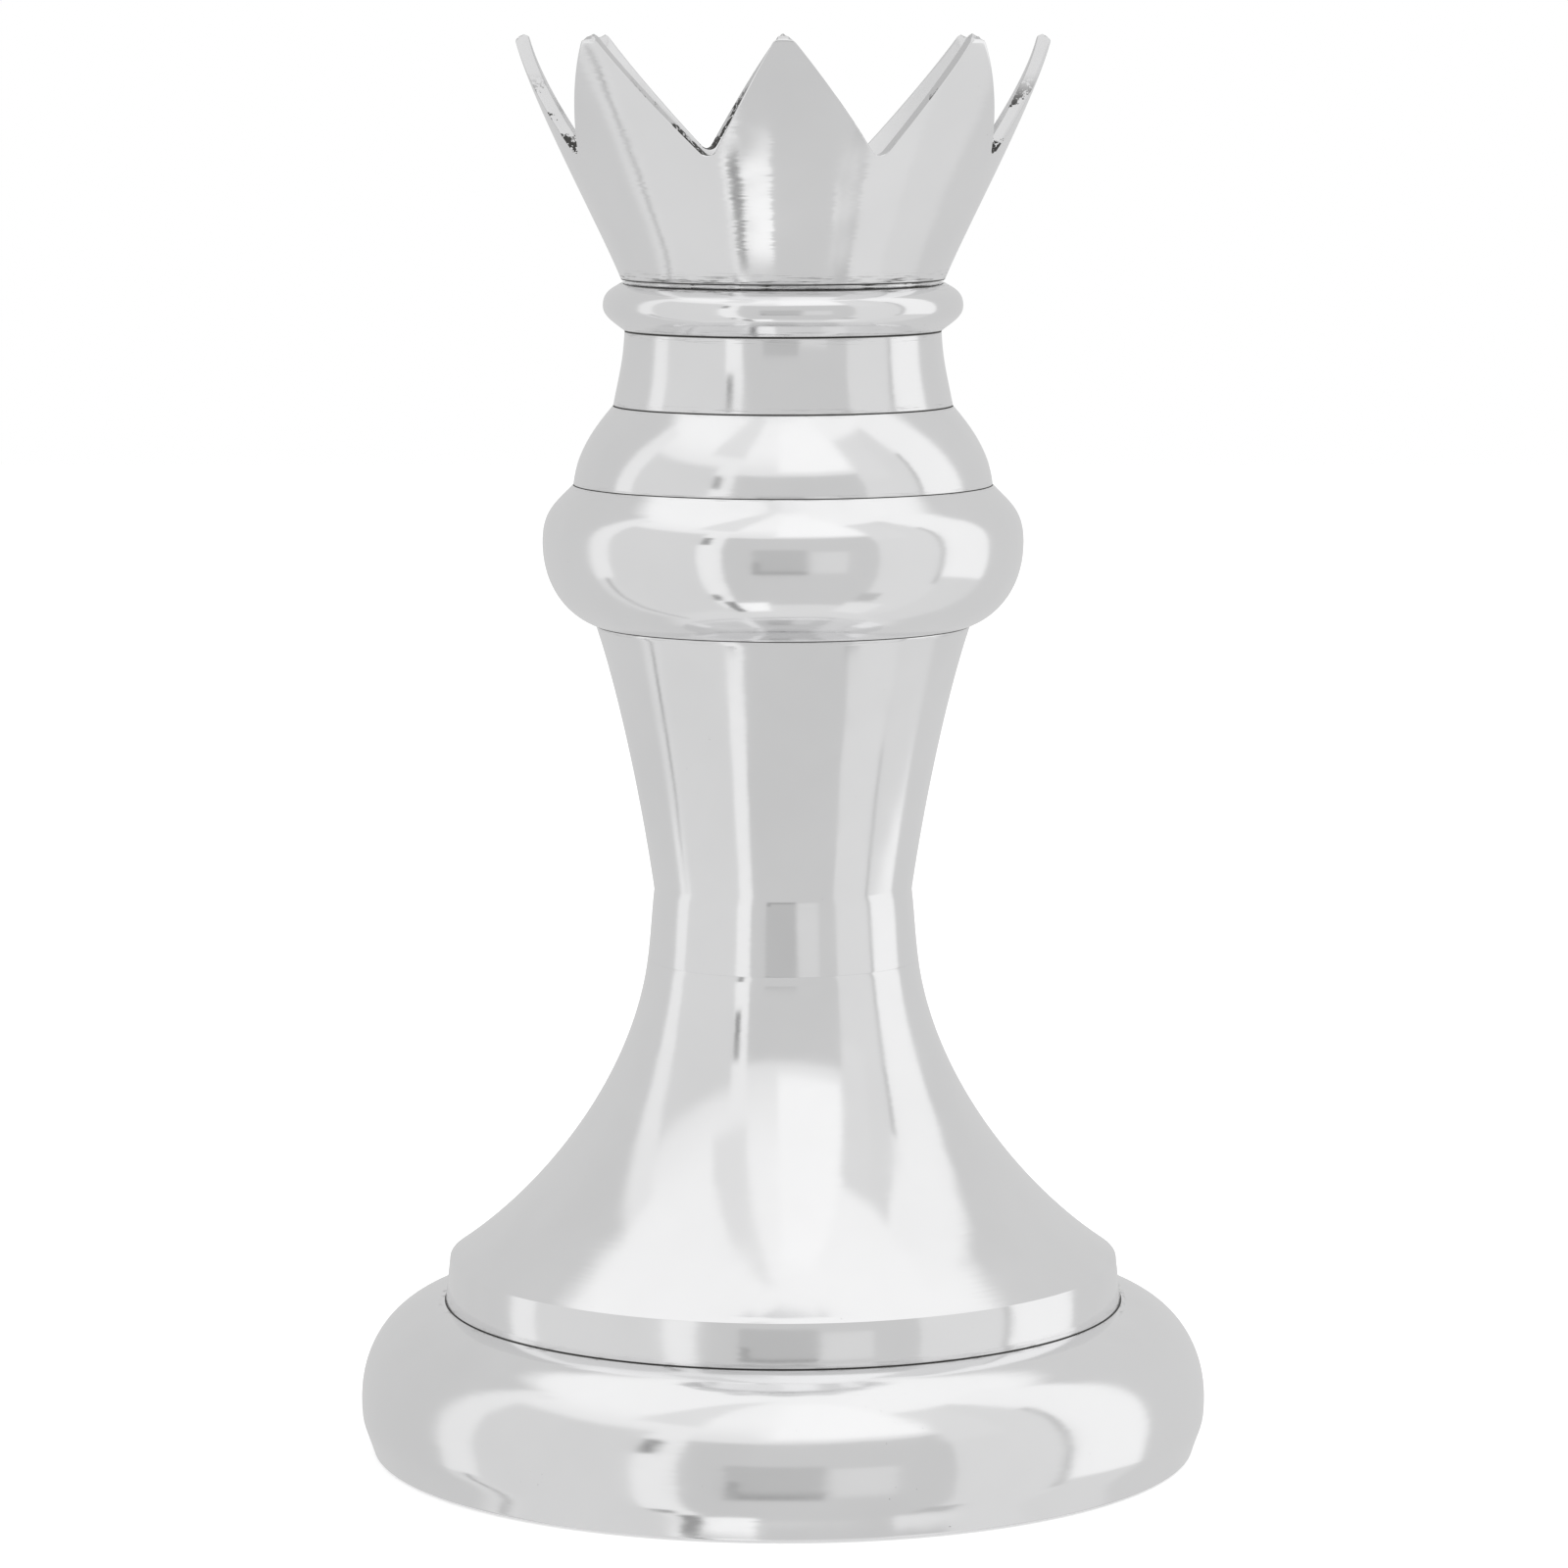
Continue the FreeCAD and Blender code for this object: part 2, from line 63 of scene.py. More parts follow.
# The skirt and the column are polished flush with each other, so their edges hardly show.
FLUSH = ("skirt", "column")
FLUSH_EDGE_WIDTH = 0.06 * MM


def low(node):
    """The height of a CAD node's lowest corner."""
    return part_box(node)[0].z


def high(node):
    """The height of a CAD node's highest corner."""
    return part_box(node)[1].z


ORDER = ["foot", "skirt", "column", "collar", "shoulder", "neck", "bead", "crown"]
SEAMS = {name: low(f"{name}_casting") for name in ORDER}
TOP = high("crown_casting")
print("seams in mm:", {name: round(z / MM, 1) for name, z in SEAMS.items()}, "top", round(TOP / MM, 1))

# %% [markdown]
# ## The camera
#
# The camera stands about two and a half metres in front of the ornament, a little above its middle, and
# looks slightly down. A long lens keeps the round foot from bulging towards us. It is set first, so that
# each piece can be judged as it is made.

# %% Camera
CAMERA_DISTANCE = 2.489
CAMERA_HEIGHT = 0.5936
CAMERA_DOWN = 7.08
CAMERA_LENS = 136.1
CAMERA_ASIDE = 0.0004

bpy.ops.object.camera_add(
    location=(CAMERA_ASIDE, -CAMERA_DISTANCE, CAMERA_HEIGHT),
    rotation=(math.radians(90 - CAMERA_DOWN), 0, 0),
)
camera = bpy.context.object
camera.name = "camera"
camera.data.lens = CAMERA_LENS
camera.data.sensor_width = 36
camera.data.clip_end = 50
bpy.context.scene.camera = camera
print("camera lens", camera.data.lens)

# %% [markdown]
# ## Drawing an outline
#
# A turned part is its outline, swept once round the axis. Each outline here is a closed Bezier curve in
# the plane of X and Z: a curved leg for the polished side, and straight legs for the webs and the bore.
# A leg that is curved is given by the directions in which it leaves and arrives, which is how a turner
# thinks of it: straight up here, nearly flat there.

# %% Legs of an outline
def toward(degrees):
    """A unit direction: 0 points outwards, 90 points up."""
    return np.array([math.cos(math.radians(degrees)), math.sin(math.radians(degrees))])


def curved(start, leave, leave_length, end, arrive, arrive_length):
    """The four poles of a curved leg."""
    start, end = np.array(start), np.array(end)
    return [start, start + leave_length * toward(leave), end - arrive_length * toward(arrive), end]


def meet(a, b, c, d):
    """Where line a-b meets line c-d, or b where they are nearly parallel."""
    first, second = b - a, d - c
    area = first[0] * second[1] - first[1] * second[0]
    if abs(area) < 0.02 * np.linalg.norm(first) * np.linalg.norm(second):
        return b
    return a + first * ((c - a)[0] * second[1] - (c - a)[1] * second[0]) / area


def inset(poles, wall):
    """The same leg, one wall further in."""
    legs = []
    for start, end in zip(poles, poles[1:]):
        along = (end - start) / np.linalg.norm(end - start)
        across = np.array([-along[1], along[0]]) * wall
        legs.append((start + across, end + across))
    corners = [meet(*before, *after) for before, after in zip(legs, legs[1:])]
    return [legs[0][0], *corners, legs[-1][1]]


def joined_inset(legs, wall):
    """Inset legs whose ends are brought together again."""
    inner = [inset(leg, wall) for leg in legs]
    for before, after in zip(inner, inner[1:]):
        middle = (before[-1] + after[0]) / 2
        before[-1] = middle
        after[0] = middle
    return inner


# %% [markdown]
# The outline becomes a real curve object, is converted to a mesh, and is swept by Spin. After a full turn
# the last ring lies on the first one, so doubles are merged before the normals are made to agree. A narrow
# bevel then takes the edge off every corner: two such edges side by side are what makes a seam visible.

# %% Helpers: draw, spin and finish
def draw_outline(name, legs, resolution):
    """A closed curve through the legs. A leg of two points is straight and gets no points of its own."""
    bpy.ops.object.select_all(action="DESELECT")
    bpy.ops.curve.primitive_bezier_curve_add()
    outline = bpy.context.object
    outline.name = name
    spline = outline.data.splines[0]
    spline.bezier_points.add(len(legs) - 2)
    spline.use_cyclic_u = True
    outline.data.resolution_u = resolution
    for i, leg in enumerate(legs):
        here = spline.bezier_points[i]
        here.handle_right_type = "VECTOR" if len(leg) == 2 else "FREE"
        here.handle_left_type = "VECTOR" if len(legs[i - 1]) == 2 else "FREE"
    for i, leg in enumerate(legs):
        here = spline.bezier_points[i]
        before = legs[i - 1]
        here.co = (leg[0][0], 0, leg[0][1])
        if len(leg) == 4:
            here.handle_right = (leg[1][0], 0, leg[1][1])
        if len(before) == 4:
            here.handle_left = (before[2][0], 0, before[2][1])
    bpy.ops.object.convert(target="MESH")
    return bpy.context.object


def merge_and_point_outwards():
    """In edit mode: closes the seam of the turn, and makes every face point outwards."""
    bpy.ops.mesh.select_all(action="SELECT")
    bpy.ops.mesh.remove_doubles(threshold=0.01 * MM)
    bpy.ops.mesh.normals_make_consistent(inside=False)


def spin(piece, steps):
    """Sweeps the whole outline once round Z."""
    bpy.ops.object.mode_set(mode="EDIT")
    bpy.ops.mesh.select_all(action="SELECT")
    bpy.ops.mesh.spin(steps=steps, dupli=False, angle=2 * math.pi, center=(0, 0, 0), axis=(0, 0, 1))
    merge_and_point_outwards()
    bpy.ops.object.mode_set(mode="OBJECT")


def soften_edges(piece, width, angle=40, segments=2):
    """Rounds the corners and shades the rest smoothly."""
    bevel = piece.modifiers.new("soft edges", "BEVEL")
    bevel.width = width
    bevel.segments = segments
    bevel.limit_method = "ANGLE"
    bevel.angle_limit = math.radians(angle)
    bevel.harden_normals = False
    bpy.ops.object.modifier_apply(modifier=bevel.name)
    bpy.ops.object.shade_smooth_by_angle(angle=math.radians(SMOOTH_ANGLE))


def turned_casting(name, outer, bottom_land, inner=None, resolution=CURVE_STEPS):
    """A hollow casting with a bored web at each end: its outline is drawn, spun and softened."""
    bottom, top = outer[0][0][1], outer[-1][-1][1]
    inner = inner or joined_inset(outer, WALL)
    web_top, web_bottom = top - WEB, bottom + WEB
    inner_high = side_at(inner, web_top)
    inner_low = side_at(inner, web_bottom)
    legs = list(outer)
    corners = [outer[-1][-1], (HOLE_RADIUS, top), (HOLE_RADIUS, web_top), (inner_high, web_top)]
    legs += straight(corners)
    legs += backwards(inner, web_bottom, web_top)
    corners = [(inner_low, web_bottom), (bottom_land, web_bottom), (bottom_land, bottom), outer[0][0]]
    legs += straight(corners)
    piece = draw_outline(name, legs, resolution)
    spin(piece, TURN_STEPS)
    soften_edges(piece, FLUSH_EDGE_WIDTH if name in FLUSH else EDGE_WIDTH)
    print(f"{name}: {len(piece.data.polygons)} faces")
    return piece


def straight(corners):
    """Straight legs from each corner to the next."""
    corners = [np.array(corner, float) for corner in corners]
    return [[a, b] for a, b in zip(corners, corners[1:])]


def on_leg(poles, share):
    """The point of a leg at this share of its run, from 0 to 1."""
    if len(poles) == 2:
        return poles[0] + share * (poles[1] - poles[0])
    rest = 1 - share
    weights = (rest**3, 3 * rest**2 * share, 3 * rest * share**2, share**3)
    return sum(weight * pole for weight, pole in zip(weights, poles))


def samples(legs, count=60):
    """Points along the legs, from the bottom up."""
    return np.array([on_leg(leg, share) for leg in legs for share in np.linspace(0, 1, count)])


def side_at(legs, z):
    """How far out the legs are at this height."""
    points = samples(legs)
    order = np.argsort(points[:, 1])
    return float(np.interp(z, points[order, 1], points[order, 0]))


def backwards(legs, bottom, top, count=16):
    """The inner side of the wall as short straight legs, from the top web down to the bottom one."""
    heights = np.linspace(top, bottom, count)
    return straight([(side_at(legs, z), z) for z in heights])


# %% [markdown]
# ## The foot
#
# The foot is the widest casting: a fat rolled rim that the whole ornament stands on. Its outline is two
# curved legs that meet, upright, at the widest place. The lower one turns under in a tight curve, and the
# upper one lies down almost flat where the skirt stands on it.

# %% Foot
FOOT_RADIUS = 180 * MM
FOOT_RIM_RADIUS = 175 * MM
FOOT_RIM_WIDTH = 8 * MM
FOOT_WIDEST = 22 * MM
FOOT_INNER_STEPS = 24
SKIRT_BASE_RADIUS = 144 * MM
LEDGE_Z = high("base_board")


def foot_legs():
    rim = (FOOT_RIM_RADIUS, SEAMS["foot"])
    widest = (FOOT_RADIUS, SEAMS["foot"] + FOOT_WIDEST)
    seam = (SKIRT_BASE_RADIUS, SEAMS["skirt"])
    above = seam[1] - widest[1]
    return [
        curved(rim, 72, 0.62 * FOOT_WIDEST, widest, 90, 0.50 * FOOT_WIDEST),
        curved(widest, 90, 0.49 * above, seam, 177, 0.58 * above),
    ]


def foot():
    """The foot has no bottom web: a recess takes the board, and the wall opens above it."""
    outer = foot_legs()
    inner = joined_inset(outer, WALL)
    recess = FOOT_RIM_RADIUS - FOOT_RIM_WIDTH
    web = SEAMS["skirt"] - WEB
    legs = list(outer)
    legs += straight([
        outer[-1][-1], (HOLE_RADIUS, SEAMS["skirt"]), (HOLE_RADIUS, web), (side_at(inner, web), web),
    ])
    legs += backwards(inner, LEDGE_Z, web, FOOT_INNER_STEPS)
    legs += straight([
        (side_at(inner, LEDGE_Z), LEDGE_Z), (recess, LEDGE_Z), (recess, SEAMS["foot"]), outer[0][0],
    ])
    piece = draw_outline("foot", legs, CURVE_STEPS)
    spin(piece, TURN_STEPS)
    soften_edges(piece, EDGE_WIDTH)
    print(f"foot: {len(piece.data.polygons)} faces")
    return piece


castings = {"foot": foot()}

# %% [markdown]
# ## The castings from the skirt to the bead
#
# These six differ only in their outlines. The skirt begins with an upright band and then sweeps in to the
# waist. The column leans out again to the collar, and the collar and the bead are rolled rings. The bead
# ends short of the crown: the groove that this leaves is the darkest line on the ornament.

# %% Outlines from the skirt up
BAND_TOP_RADIUS = 142 * MM
BAND_HEIGHT = 18.6 * MM
WELD_RADIUS = 57.4 * MM
WAIST_RADIUS = 54.6 * MM
WAIST_ABOVE_WELD = 29.5 * MM
COLUMN_TOP_RADIUS = 79 * MM
COLLAR_RADIUS = 101.2 * MM
COLLAR_WIDEST = 35 * MM
COLLAR_TOP_RADIUS = 88.1 * MM
SHOULDER_TOP_RADIUS = 71.3 * MM
NECK_TOP_RADIUS = 66.4 * MM
BEAD_RADIUS = 75.5 * MM
BEAD_WIDEST = 10.4 * MM
BEAD_TOP_RADIUS = 67.7 * MM
GROOVE_HEIGHT = 1.2 * MM
GROOVE_DEPTH = 2.0 * MM
BEAD_CURVE_STEPS = 28


def height_of(name):
    """The height of a casting, from its own seam to the next one."""
    return SEAMS[ORDER[ORDER.index(name) + 1]] - SEAMS[name]


def skirt_legs():
    band_top = (BAND_TOP_RADIUS, SEAMS["skirt"] + BAND_HEIGHT)
    weld = (WELD_RADIUS, SEAMS["column"])
    rise = height_of("skirt") - BAND_HEIGHT
    band = [np.array((SKIRT_BASE_RADIUS, SEAMS["skirt"])), np.array(band_top)]
    return [band, curved(band_top, 145.5, 0.38 * rise, weld, 97, 0.40 * rise)]


def column_legs():
    weld = (WELD_RADIUS, SEAMS["column"])
    waist = (WAIST_RADIUS, SEAMS["column"] + WAIST_ABOVE_WELD)
    top = (COLUMN_TOP_RADIUS, SEAMS["collar"])
    rise = height_of("column") - WAIST_ABOVE_WELD
    return [
        curved(weld, 97, 0.4 * WAIST_ABOVE_WELD, waist, 97, 0.3 * WAIST_ABOVE_WELD),
        curved(waist, 82, 0.35 * rise, top, 71.5, 0.26 * rise),
    ]


def collar_legs():
    widest = (COLLAR_RADIUS, SEAMS["collar"] + COLLAR_WIDEST)
    above = height_of("collar") - COLLAR_WIDEST
    seam = (COLUMN_TOP_RADIUS, SEAMS["collar"])
    top = (COLLAR_TOP_RADIUS, SEAMS["shoulder"])
    return [
        curved(seam, 19, 0.36 * COLLAR_WIDEST, widest, 90, 0.54 * COLLAR_WIDEST),
        curved(widest, 90, 0.54 * above, top, 134, 0.46 * above),
    ]


def shoulder_legs():
    rise = height_of("shoulder")
    seam = (COLLAR_TOP_RADIUS, SEAMS["shoulder"])
    return [curved(seam, 95, 0.42 * rise, (SHOULDER_TOP_RADIUS, SEAMS["neck"]), 131, 0.32 * rise)]


def neck_legs():
    rise = height_of("neck")
    seam = (SHOULDER_TOP_RADIUS, SEAMS["neck"])
    return [curved(seam, 101, 0.45 * rise, (NECK_TOP_RADIUS, SEAMS["bead"]), 93, 0.42 * rise)]


def bead_legs():
    widest = (BEAD_RADIUS, SEAMS["bead"] + BEAD_WIDEST)
    groove = SEAMS["crown"] - GROOVE_HEIGHT
    above = groove - widest[1]
    seam = (NECK_TOP_RADIUS, SEAMS["bead"])
    inner_groove = BEAD_TOP_RADIUS - GROOVE_DEPTH
    return [
        curved(seam, 38, 0.55 * BEAD_WIDEST, widest, 90, 0.42 * BEAD_WIDEST),
        curved(widest, 90, 0.60 * above, (BEAD_TOP_RADIUS, groove), 150, 0.50 * above),
        *straight([(BEAD_TOP_RADIUS, groove), (inner_groove, groove), (inner_groove, SEAMS["crown"])]),
    ]


# %% Skirt, column, collar, shoulder, neck and bead
outlines = {
    "skirt": (skirt_legs(), SKIRT_BASE_RADIUS),
    "column": (column_legs(), WELD_RADIUS),
    "collar": (collar_legs(), COLUMN_TOP_RADIUS),
    "shoulder": (shoulder_legs(), COLLAR_TOP_RADIUS),
    "neck": (neck_legs(), SHOULDER_TOP_RADIUS),
}
for name, (legs, seam_radius) in outlines.items():
    castings[name] = turned_casting(name, legs, seam_radius - LAND)

bead_inner = joined_inset(bead_legs()[:2], WALL)
bead_land = NECK_TOP_RADIUS - LAND
castings["bead"] = turned_casting("bead", bead_legs(), bead_land, bead_inner, BEAD_CURVE_STEPS)

# %% [markdown]
# ## The crown
#
# The crown is a flared cup with eight gaps cut out of its rim by hand. Cutting them with a boolean would
# leave long thin faces in the polished wall, and a mirror shows every one of them. So the cup is spun
# whole, with many rings, and then its rings are lowered where a gap is: each upright row of points is
# squeezed down the wall until its top lies on the edge of the gap. The wall keeps its curve, because every
# point is put back on the cup's outline at its new height.

# %% The cup and the shape of a gap
CROWN_BASE_RADIUS = 67.7 * MM
CROWN_TOP_RADIUS = 112.2 * MM
CROWN_WALL = 6 * MM
CROWN_FLOOR = 8 * MM
CROWN_POINTS = 8
CROWN_STEPS = 720
CROWN_RINGS = 42
CROWN_EDGE_WIDTH = 0.8 * MM
SOCKET_DEPTH = 4.3 * MM
NOTCH_DEPTH = 49.5 * MM
NOTCH_ROOT_RADIUS = 4.5 * MM
TIP_WIDTH = 3 * MM
TIP_BEVEL = 4 * MM
TIP_ROUNDING = 1.4 * MM
# How far each gap's root is from the middle between its two tips, from the front point anticlockwise
HAND_CUT = np.radians([2.5, 1.5, -1.0, 0.5, -1.0, 1.0, 0.5, 3.4])
FLOOR_Z = SEAMS["crown"] + CROWN_FLOOR


def crown_legs():
    rise = TOP - SEAMS["crown"]
    seam, top = (CROWN_BASE_RADIUS, SEAMS["crown"]), (CROWN_TOP_RADIUS, TOP)
    return [curved(seam, 68, 0.24 * rise, top, 79, 0.24 * rise)]


def flank_slope(turn):
    """How far a gap's flank leans from upright to reach a tip this far round, found by halving."""
    half_top = CROWN_TOP_RADIUS * math.sin(turn) - TIP_WIDTH / 2 * math.cos(turn)
    lowest, highest = 0.0, math.pi / 2
    for _ in range(50):
        slope = (lowest + highest) / 2
        rise = NOTCH_DEPTH - NOTCH_ROOT_RADIUS * (1 - math.sin(slope))
        reach = NOTCH_ROOT_RADIUS * math.cos(slope) + rise * math.tan(slope)
        lowest, highest = (slope, highest) if reach < half_top else (lowest, slope)
    return slope


STEP = 2 * math.pi / CROWN_POINTS
SLOPE_BEFORE = np.array([flank_slope(STEP / 2 + aside) for aside in HAND_CUT])
SLOPE_AFTER = np.array([flank_slope(STEP / 2 - aside) for aside in HAND_CUT])
leans = np.degrees([SLOPE_BEFORE, SLOPE_AFTER]).round(1).tolist()
print("the gaps' flanks lean", leans, "degrees from upright")


def gap_edge(aside, slope):
    """The height of a gap's edge at this distance from its root, on a flank that leans this much."""
    root_z = TOP - NOTCH_DEPTH
    arc_ends = NOTCH_ROOT_RADIUS * np.cos(slope)
    arc = root_z + NOTCH_ROOT_RADIUS - np.sqrt(np.maximum(NOTCH_ROOT_RADIUS**2 - aside**2, 0))
    flank = root_z + NOTCH_ROOT_RADIUS * (1 - np.sin(slope)) + (aside - arc_ends) / np.tan(slope)
    return np.where(aside < arc_ends, arc, flank)


def lower_of(a, b, rounding):
    """The smaller of two heights, with the corner between them rounded."""
    blend = np.clip(0.5 + 0.5 * (b - a) / rounding, 0, 1)
    return b * (1 - blend) + a * blend - rounding * blend * (1 - blend)


# %% Pressing the gaps into the rim
def press_gaps(piece):
    """Lowers every ring of the cup's wall where a gap is, and grinds the outer edge off the tips."""
    wall = samples(crown_legs(), 400)
    co = np.empty(len(piece.data.vertices) * 3)
    piece.data.vertices.foreach_get("co", co)
    co = co.reshape(-1, 3)
    radius, angle, z = np.hypot(co[:, 0], co[:, 1]), np.arctan2(co[:, 1], co[:, 0]), co[:, 2]
    rim = z > FLOOR_Z + 0.01 * MM
    inwards = (np.interp(z, wall[:, 1], wall[:, 0]) - radius) / CROWN_WALL
    share = (z - FLOOR_Z) / (TOP - FLOOR_Z)
    turn_from_front = np.mod(angle + math.pi / 2, 2 * math.pi)
    gap = np.minimum(turn_from_front // STEP, CROWN_POINTS - 1).astype(int)
    turn = turn_from_front - (gap + 0.5) * STEP - HAND_CUT[gap]
    slope = np.where(turn > 0, SLOPE_AFTER[gap], SLOPE_BEFORE[gap])
    # A point's radius depends on its new height and the height on the radius, so both are found in rounds.
    new_z = np.full_like(z, TOP)
    for _ in range(12):
        new_radius = np.interp(new_z, wall[:, 1], wall[:, 0]) - inwards * CROWN_WALL
        edge = lower_of(gap_edge(new_radius * np.sin(np.abs(turn)), slope), TOP, TIP_ROUNDING)
        bevel = TOP - TIP_BEVEL + (CROWN_TOP_RADIUS - new_radius)
        edge = lower_of(edge, bevel, TIP_ROUNDING / 4)
        new_z = FLOOR_Z + share * (edge - FLOOR_Z)
    new_radius = np.interp(new_z, wall[:, 1], wall[:, 0]) - inwards * CROWN_WALL
    co[rim] = np.stack([new_radius * np.cos(angle), new_radius * np.sin(angle), new_z], 1)[rim]
    piece.data.vertices.foreach_set("co", co.ravel())
    piece.data.update()


def crown():
    outer = crown_legs()
    inner = joined_inset(outer, CROWN_WALL)
    socket = CROWN_BASE_RADIUS - LAND
    rim_points = [(CROWN_TOP_RADIUS - share * CROWN_WALL, TOP) for share in (0, 0.33, 0.67, 1)]
    legs = list(outer) + straight(rim_points)
    inner_top = np.array(rim_points[-1])
    heights = np.linspace(TOP, FLOOR_Z, CROWN_RINGS)[1:]
    legs += straight([inner_top, *[(side_at(inner, z), z) for z in heights]])
    socket_top = SEAMS["crown"] + SOCKET_DEPTH
    legs += straight([
        (side_at(inner, FLOOR_Z), FLOOR_Z), (HOLE_RADIUS, FLOOR_Z), (HOLE_RADIUS, socket_top),
        (socket, socket_top), (socket, SEAMS["crown"]), outer[0][0],
    ])
    piece = draw_outline("crown", legs, CROWN_RINGS)
    spin(piece, CROWN_STEPS)
    press_gaps(piece)
    soften_edges(piece, CROWN_EDGE_WIDTH, angle=50, segments=3)
    print(f"crown: {len(piece.data.polygons)} faces")
    return piece


castings["crown"] = crown()

# %% [markdown]
# ## The felt
#
# The ornament stands on a disc of thick felt, glued to the board that closes its foot. Felt is soft, so the
# disc's edge is rounded. Rings inside its two faces keep their triangles short.

# %% Felt
FELT_SIDES = 180
FELT_RINGS = (6 * MM, 20 * MM, 60 * MM)
FELT_EDGE_WIDTH = 0.9 * MM


def felt_disc():
    lowest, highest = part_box("base_felt")
    radius, height = (highest.x - lowest.x) / 2, highest.z - lowest.z
    bpy.ops.object.select_all(action="DESELECT")
    bpy.ops.mesh.primitive_cylinder_add(
        vertices=FELT_SIDES, radius=radius, depth=height, location=(0, 0, lowest.z + height / 2),
        end_fill_type="NGON",
    )
    disc = bpy.context.object
    disc.name = "felt"
    bpy.ops.object.transform_apply(location=True, rotation=True, scale=True)
    bpy.ops.object.mode_set(mode="EDIT")
    bpy.ops.mesh.select_all(action="DESELECT")
    bpy.ops.mesh.select_mode(type="FACE")
    bpy.ops.object.mode_set(mode="OBJECT")
    for face in disc.data.polygons:
        face.select = abs(face.normal.z) > 0.5
    bpy.ops.object.mode_set(mode="EDIT")
    for width in FELT_RINGS:
        bpy.ops.mesh.inset(thickness=width)
    bpy.ops.mesh.poke()
    bpy.ops.object.mode_set(mode="OBJECT")
    soften_edges(disc, FELT_EDGE_WIDTH, segments=4)
    print("felt", round(2 * radius / MM), "mm across")
    return disc


felt = felt_disc()

# %% Every piece rides on the one body, and stands for its CAD node
for name, piece in castings.items():
    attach(piece, "root")
    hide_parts(f"{name}_casting")
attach(felt, "root")
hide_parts("base_felt")

# %% [markdown]
# ## Materials
#
# Polished aluminium is a mirror with the marks of how it was made. Three effects are shared by several
# finishes, so each is a node group with its own inputs:
#
# - *wheel marks*: the polishing wheel leaves rows so fine that each one tips the reflection a little
#   sideways. A dark reflection gets a ragged edge from them.
# - *casting pits*: small holes from the sand that polishing has opened, with dark compound in them.
# - *seam grime*: polishing compound that stays in a seam and just beside it.

# %% Small helpers for node trees
class Tree:
    """Adds nodes to a tree and joins them, with plain numbers or sockets as inputs."""

    def __init__(self, tree):
        self.tree = tree

    def add(self, kind, inputs=None, **settings):
        node = self.tree.nodes.new(kind)
        for key, value in settings.items():
            setattr(node, key, value)
        for key, value in (inputs or {}).items():
            if isinstance(value, bpy.types.NodeSocket):
                self.tree.links.new(value, node.inputs[key])
            else:
                node.inputs[key].default_value = value
        return node

    def math(self, operation, a, b=0.0, clamp=False):
        node = self.add("ShaderNodeMath", {0: a, 1: b}, operation=operation, use_clamp=clamp)
        return node.outputs[0]

    def vector(self, operation, a, b=(0, 0, 0)):
        return self.add("ShaderNodeVectorMath", {0: a, 1: b}, operation=operation).outputs[0]

    def scaled(self, vector, scale):
        node = self.add("ShaderNodeVectorMath", {0: vector, "Scale": scale}, operation="SCALE")
        return node.outputs[0]

    def ramp(self, value, low_end, high_end, low_out=0.0, high_out=1.0):
        """A value brought smoothly from one range to another."""
        node = self.add(
            "ShaderNodeMapRange",
            {0: value, 1: low_end, 2: high_end, 3: low_out, 4: high_out},
            interpolation_type="SMOOTHSTEP",
        )
        return node.outputs[0]

    def noise(self, vector, scale, detail=2.0, roughness=0.5):
        inputs = {"Vector": vector, "Scale": scale, "Detail": detail, "Roughness": roughness}
        return self.add("ShaderNodeTexNoise", inputs).outputs[0]

    def mix(self, share, a, b):
        node = self.add("ShaderNodeMix", {0: share, 6: a, 7: b}, data_type="RGBA")
        return node.outputs[2]

    def link(self, value, socket):
        self.tree.links.new(value, socket)


def node_group(name, inputs, outputs):
    """An empty group with named sockets: the group, its tree helper, its input node and its output node."""
    group = bpy.data.node_groups.new(name, "ShaderNodeTree")
    for key, kind, value in inputs:
        socket = group.interface.new_socket(key, in_out="INPUT", socket_type=kind)
        socket.default_value = value
    for key, kind in outputs:
        group.interface.new_socket(key, in_out="OUTPUT", socket_type=kind)
    tree = Tree(group)
    return group, tree, tree.add("NodeGroupInput"), tree.add("NodeGroupOutput")


FLOAT, VECTOR = "NodeSocketFloat", "NodeSocketVector"


# %% Group: wheel marks
def wheel_marks_group():
    inputs = [
        ("Strength", FLOAT, 0.03), ("Rows per metre", FLOAT, 2500.0), ("Length per metre", FLOAT, 30.0),
    ]
    outputs = [("Normal", VECTOR), ("Rows", FLOAT)]
    group, tree, given, made = node_group("wheel marks", inputs, outputs)
    place = tree.add("ShaderNodeTexCoord").outputs["Object"]
    axes = tree.add("ShaderNodeSeparateXYZ", {0: place})
    across = tree.math("MULTIPLY", axes.outputs[0], given.outputs["Length per metre"])
    along = tree.math("MULTIPLY", axes.outputs[1], given.outputs["Length per metre"])
    up = tree.math("MULTIPLY", axes.outputs[2], given.outputs["Rows per metre"])
    stretched = tree.add("ShaderNodeCombineXYZ", {0: across, 1: along, 2: up}).outputs[0]
    rows = tree.noise(stretched, 1.0, 3.0, 0.6)
    sideways = tree.math("SUBTRACT", rows, 0.5)
    sideways = tree.math("MULTIPLY", sideways, given.outputs["Strength"])
    backwards_y = tree.math("MULTIPLY", axes.outputs[1], -1.0)
    round_axis = tree.add("ShaderNodeCombineXYZ", {0: backwards_y, 1: axes.outputs[0]}).outputs[0]
    round_axis = tree.vector("NORMALIZE", round_axis)
    normal = tree.add("ShaderNodeNewGeometry").outputs["Normal"]
    tipped = tree.vector("ADD", normal, tree.scaled(round_axis, sideways))
    tree.link(tree.vector("NORMALIZE", tipped), made.inputs["Normal"])
    tree.link(rows, made.inputs["Rows"])
    return group


